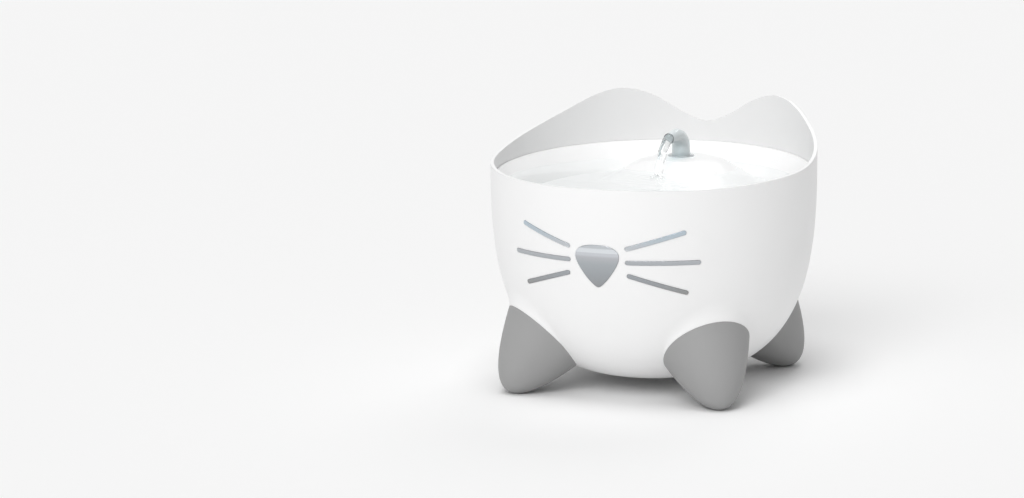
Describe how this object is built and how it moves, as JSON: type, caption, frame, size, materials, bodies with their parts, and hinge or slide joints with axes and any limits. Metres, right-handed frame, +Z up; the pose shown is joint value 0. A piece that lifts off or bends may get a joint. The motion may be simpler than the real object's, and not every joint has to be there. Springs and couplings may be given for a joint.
{
  "type": "pet water fountain",
  "caption": "Round white pet fountain with cat ears, nose and whiskers, a sloping drinking tray, a clear swivelling spout, and a pump and filter inside.",
  "frame": {"origin": "on the floor, on the axis of the round bowl", "axes": "+Z up; -Y towards the cat's face; +X towards the fountain's side at the right of a viewer who faces the cat's face"},
  "size_m": [0.222, 0.2219, 0.1862],
  "materials": {
    "white_plastic": "satin white moulded plastic",
    "foot_rubber": "matte grey soft plastic",
    "silver_trim": "bright metallised plastic",
    "clear_plastic": "clear moulded plastic",
    "black_rubber": "matte rubber",
    "pump_plastic": "moulded plastic",
    "blue_grey_plastic": "moulded plastic",
    "circuit_board": "lacquered board",
    "steel": "stainless steel",
    "copper_wire": "lacquered winding in resin",
    "magnet": "ferrite, dark grey",
    "ceramic": "polished ceramic",
    "filter_fleece": "pressed fleece with granules",
    "foam": "open-cell foam"
  },
  "bodies": {
    "base": {"bowl": "white_plastic", "foot_front_right": "foot_rubber", "foot_front_left": "foot_rubber", "foot_rear_right": "foot_rubber", "foot_rear_left": "foot_rubber", "nose": "silver_trim", "whisker_right_upper": "silver_trim", "whisker_right_middle": "silver_trim", "whisker_right_lower": "silver_trim", "whisker_left_upper": "silver_trim", "whisker_left_middle": "silver_trim", "whisker_left_lower": "silver_trim", "nose_light_board": "circuit_board", "nose_light_gasket": "black_rubber", "nose_light_cover": "white_plastic", "nose_cover_screws": "steel", "cable_gland": "black_rubber", "nose_lead": "black_rubber", "pump_lead": "black_rubber", "suction_cups": "clear_plastic", "motor_base": "pump_plastic", "motor_housing": "pump_plastic", "stator_core": "steel", "stator_coils": "copper_wire", "driver_board": "circuit_board", "shaft_bush_lower": "black_rubber", "rotor_shaft": "ceramic", "shaft_bush_upper": "black_rubber", "volute_seal": "black_rubber", "volute_cover": "pump_plastic", "volute_screws": "steel", "level_probes": "steel", "nozzle_seal": "black_rubber"},
    "rotor": {"rotor_magnet": "magnet", "impeller": "blue_grey_plastic"},
    "inlet": {"strainer": "pump_plastic", "sponge_ring": "foam"},
    "dial": {"flow_dial": "blue_grey_plastic"},
    "dish": {"tray": "white_plastic", "riser_tube": "clear_plastic"},
    "filter": {"filter_basket": "pump_plastic", "filter_cartridge": "filter_fleece", "filter_foam": "foam"},
    "collar": {"spout_collar": "clear_plastic"},
    "spout_part": {"spout": "clear_plastic", "spout_seals": "black_rubber"}
  },
  "joints": [
    {"name": "tray_lift", "type": "slide", "parent": "base", "child": "dish", "axis": [0, 0, 1], "range_m": [0, 0.16]},
    {"name": "filter_pull", "type": "slide", "parent": "dish", "child": "filter", "axis": [0, 0, -1], "range_m": [0, 0.03]},
    {"name": "spout_swivel", "type": "hinge", "parent": "dish", "child": "collar", "pos_m": [0, 0.055, 0.1463], "axis": [0, 0, 1], "continuous": true},
    {"name": "spout_pull", "type": "slide", "parent": "collar", "child": "spout_part", "axis": [0, 0, 1], "range_m": [0, 0.03]},
    {"name": "strainer_lift", "type": "slide", "parent": "base", "child": "inlet", "axis": [0, 0, 1], "range_m": [0, 0.014]},
    {"name": "flow_dial_turn", "type": "hinge", "parent": "inlet", "child": "dial", "pos_m": [0, 0.03, 0.0724], "axis": [0, 0, 1], "range_deg": [0, 46]},
    {"name": "impeller_spin", "type": "hinge", "parent": "base", "child": "rotor", "pos_m": [0, 0.03, 0.0439], "axis": [0, 0, 1], "continuous": true}
  ]
}
